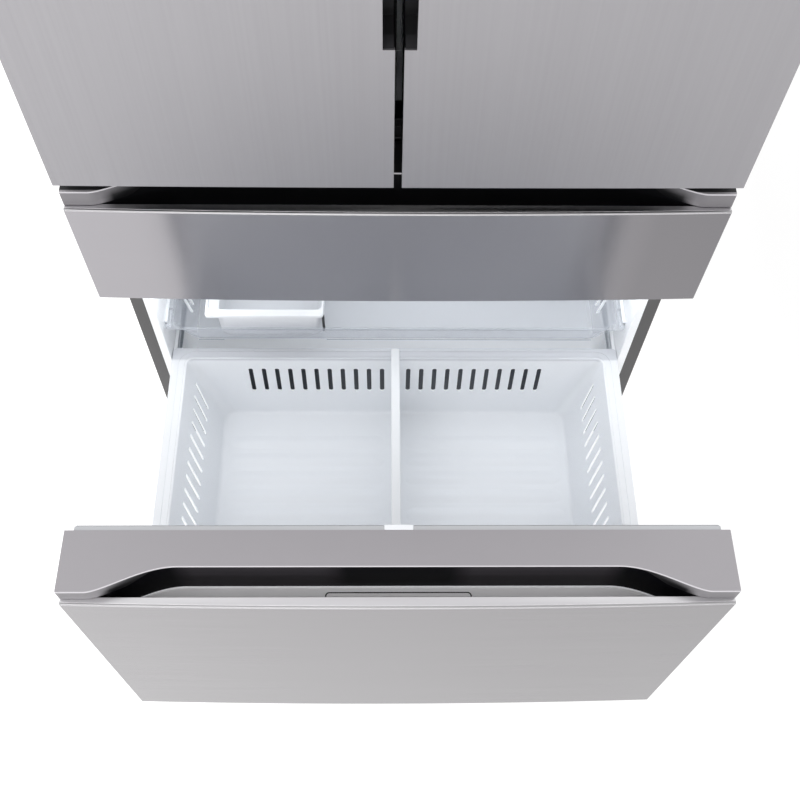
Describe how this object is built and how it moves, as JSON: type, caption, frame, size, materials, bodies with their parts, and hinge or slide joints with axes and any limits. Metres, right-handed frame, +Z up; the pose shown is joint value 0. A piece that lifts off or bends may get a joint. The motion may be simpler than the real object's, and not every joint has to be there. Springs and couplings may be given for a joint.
{
  "type": "french door refrigerator",
  "caption": "Tall refrigerator with two side-hinged doors above a shallow middle drawer and a deep pull-out freezer drawer, with recessed finger grips.",
  "frame": {"origin": "on the floor, at the middle of the footprint of the stored pose, which has the freezer drawer pulled out", "axes": "+Z up, +Y into the appliance (the fronts face -Y), +X to the right of someone who faces it"},
  "size_m": [0.908, 1.3685, 1.784],
  "materials": {
    "case_paint": "dark grey paint, fine texture",
    "back_steel": "coated steel",
    "foam": "rigid foam, cut surface",
    "liner_white": "gloss white plastic",
    "frame_dark": "black paint",
    "grille_dark": "matte black plastic",
    "foot_black": "matte black plastic",
    "roller_black": "hard rubber",
    "compressor_black": "black enamel",
    "copper": "copper tube and fins",
    "coil_metal": "bare aluminium fins",
    "fan_black": "matte plastic",
    "light_lens": "frosted lens",
    "glass": "clear tempered glass",
    "trim_white": "satin white plastic",
    "clear_bin": "clear plastic",
    "bin_white": "translucent bluish white plastic",
    "hinge_steel": "grey coated steel",
    "cover_dark": "dark grey plastic",
    "slide_zinc": "zinc plated steel",
    "steel_doors": "brushed stainless, vertical grain",
    "steel_mid": "brushed stainless, horizontal grain",
    "steel_freezer": "brushed stainless, horizontal grain",
    "door_end_grey": "grey plastic end caps and core",
    "cap_grey": "satin metallic grey plastic",
    "gasket_grey": "soft magnetic seal",
    "flap_dark": "dark grey plastic"
  },
  "bodies": {
    "cabinet": {"outer_case": "case_paint", "back_cover": "back_steel", "cabinet_foam": "foam", "fridge_liner": "liner_white", "mid_liner": "liner_white", "freezer_liner": "liner_white", "base_frame": "frame_dark", "kick_grille": "grille_dark", "leveling_legs": "foot_black", "machine_cover": "back_steel", "compressor": "compressor_black", "condenser": "copper", "evaporator": "coil_metal", "evaporator_cover": "liner_white", "air_tower": "trim_white", "ceiling_light": "light_lens", "glass_shelves": "glass", "shelf_frames": "trim_white", "top_hinges": "hinge_steel", "hinge_covers": "cover_dark", "centre_hinges": "hinge_steel", "drawer_slides_fixed": "slide_zinc", "tray_rails": "trim_white", "ice_maker": "trim_white"},
    "rollers": {"rear_rollers": "roller_black"},
    "machine_fan": {"condenser_fan": "fan_black"},
    "cold_fan": {"evaporator_fan": "fan_black"},
    "left_crisper": {"crisper_left": "clear_bin"},
    "right_crisper": {"crisper_right": "clear_bin"},
    "stop_arm": {"ice_arm": "slide_zinc"},
    "freezer_tray": {"upper_tray": "clear_bin", "ice_bin": "bin_white"},
    "left_door": {"left_door_skin": "steel_doors", "left_door_core": "door_end_grey", "left_door_liner": "liner_white", "left_door_gasket": "gasket_grey", "left_door_bins": "clear_bin"},
    "right_door": {"right_door_skin": "steel_doors", "right_door_core": "door_end_grey", "right_door_liner": "liner_white", "right_door_gasket": "gasket_grey", "right_door_bins": "clear_bin"},
    "flap": {"mullion_flap": "flap_dark"},
    "mid_drawer": {"mid_panel": "steel_mid", "mid_handle_cap": "cap_grey", "mid_core": "liner_white", "mid_gasket": "gasket_grey", "mid_bin": "bin_white", "mid_slide_rails": "trim_white"},
    "mid_links": {"mid_slide_links": "slide_zinc"},
    "freezer_drawer": {"freezer_panel": "steel_freezer", "freezer_handle_cap": "cap_grey", "freezer_core": "liner_white", "freezer_gasket": "gasket_grey", "freezer_bin": "bin_white", "bin_divider": "bin_white", "pocket_cover": "cap_grey", "freezer_slide_rails": "trim_white"},
    "freezer_links": {"freezer_slide_links": "slide_zinc"}
  },
  "joints": [
    {"name": "left_door_hinge", "type": "hinge", "parent": "cabinet", "child": "left_door", "pos_m": [-0.439, -0.167, 1.3], "axis": [0, 0, -1], "range_deg": [0, 120]},
    {"name": "right_door_hinge", "type": "hinge", "parent": "cabinet", "child": "right_door", "pos_m": [0.439, -0.167, 1.3], "axis": [0, 0, 1], "range_deg": [0, 120]},
    {"name": "flap_hinge", "type": "hinge", "parent": "left_door", "child": "flap", "pos_m": [-0.046, -0.0949, 1.3], "axis": [0, 0, 1], "range_deg": [0, 85]},
    {"name": "mid_drawer_slide", "type": "slide", "parent": "cabinet", "child": "mid_drawer", "axis": [0, -1, 0], "range_m": [0, 0.42]},
    {"name": "mid_link_slide", "type": "slide", "parent": "cabinet", "child": "mid_links", "axis": [0, -1, 0], "range_m": [0, 0.21]},
    {"name": "freezer_drawer_slide", "type": "slide", "parent": "cabinet", "child": "freezer_drawer", "axis": [0, -1, 0], "range_m": [-0.4695, 0]},
    {"name": "freezer_link_slide", "type": "slide", "parent": "cabinet", "child": "freezer_links", "axis": [0, -1, 0], "range_m": [-0.23475, 0]},
    {"name": "freezer_tray_slide", "type": "slide", "parent": "cabinet", "child": "freezer_tray", "axis": [0, -1, 0], "range_m": [0, 0.3]},
    {"name": "left_crisper_slide", "type": "slide", "parent": "cabinet", "child": "left_crisper", "axis": [0, -1, 0], "range_m": [0, 0.235]},
    {"name": "right_crisper_slide", "type": "slide", "parent": "cabinet", "child": "right_crisper", "axis": [0, -1, 0], "range_m": [0, 0.235]},
    {"name": "ice_arm_hinge", "type": "hinge", "parent": "cabinet", "child": "stop_arm", "pos_m": [-0.133, 0.091, 0.52], "axis": [1, 0, 0], "range_deg": [0, 30]},
    {"name": "machine_fan_spin", "type": "hinge", "parent": "cabinet", "child": "machine_fan", "pos_m": [-0.184, 0.561, 0.135], "axis": [1, 0, 0], "continuous": true},
    {"name": "cold_fan_spin", "type": "hinge", "parent": "cabinet", "child": "cold_fan", "pos_m": [0, 0.546, 0.556], "axis": [0, 1, 0], "continuous": true},
    {"name": "roller_spin", "type": "hinge", "parent": "cabinet", "child": "rollers", "pos_m": [0, 0.621, 0.021], "axis": [1, 0, 0], "continuous": true}
  ],
  "couplings": [
    {"joint": "mid_link_slide", "follows": "mid_drawer_slide", "ratio": 0.5},
    {"joint": "freezer_link_slide", "follows": "freezer_drawer_slide", "ratio": 0.5},
    {"joint": "left_crisper_slide", "follows": "left_door_hinge", "m_per_rad": 0.11},
    {"joint": "right_crisper_slide", "follows": "right_door_hinge", "m_per_rad": 0.11}
  ]
}
